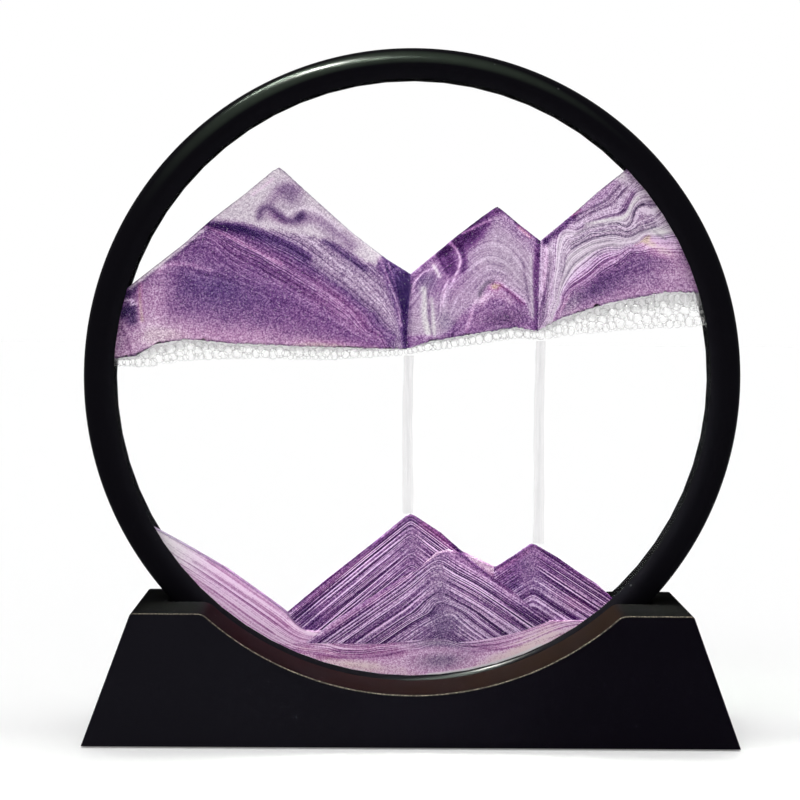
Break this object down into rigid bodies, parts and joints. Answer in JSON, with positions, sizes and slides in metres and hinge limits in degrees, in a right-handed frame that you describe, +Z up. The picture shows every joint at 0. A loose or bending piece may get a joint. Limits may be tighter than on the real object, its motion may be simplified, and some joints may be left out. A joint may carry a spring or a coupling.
{
  "type": "moving sand art frame",
  "caption": "Round liquid sand picture: a glass cell of water, bubbles and purple sand in a black tube ring that turns in, and lifts out of, a saddle stand.",
  "frame": {"origin": "on the table, below the centre of the ring and in the middle of the stand's length and depth", "axes": "+Z up, +X along the stand to the viewer's right, front towards -Y"},
  "size_m": [0.18, 0.045, 0.1867],
  "materials": {
    "stand_satin": "satin",
    "ring_gloss": "gloss",
    "foot_rubber": "matte",
    "gasket_rubber": "matte",
    "cell_glass": "polished",
    "spacer_white": "matte",
    "sealant": "satin",
    "water": "gloss",
    "bubbles": "gloss",
    "violet_sand": "matte",
    "pink_sand": "matte",
    "falling_sand": "matte"
  },
  "bodies": {
    "stand": {"stand_shell": "stand_satin", "stand_base_plate": "stand_satin", "foot_front_left": "foot_rubber", "foot_front_right": "foot_rubber", "foot_rear_left": "foot_rubber", "foot_rear_right": "foot_rubber"},
    "liquid": {"water_layer": "water"},
    "frame": {"front_ring_shell": "ring_gloss", "rear_ring_shell": "ring_gloss", "cell_edge_gasket": "gasket_rubber", "front_glass": "cell_glass", "rear_glass": "cell_glass", "spacer_ring": "spacer_white", "front_glass_seal": "sealant", "rear_glass_seal": "sealant", "fill_plug": "gasket_rubber", "bubble_layer": "bubbles", "upper_sand_left": "violet_sand", "upper_sand_middle": "violet_sand", "upper_sand_right": "violet_sand", "left_sand_stream": "falling_sand", "right_sand_stream": "falling_sand", "lower_sand_bed": "pink_sand", "lower_sand_left_dune": "pink_sand", "lower_sand_left_peak": "violet_sand", "lower_sand_right_peak": "violet_sand", "lower_sand_front_ridge": "violet_sand"}
  },
  "joints": [
    {"name": "frame_lift", "type": "slide", "parent": "stand", "child": "liquid", "axis": [0, 0, 1], "range_m": [0, 0.06]},
    {"name": "frame_turn", "type": "hinge", "parent": "liquid", "child": "frame", "pos_m": [0, 0.005, 0.0967], "axis": [0, 1, 0], "continuous": true}
  ]
}
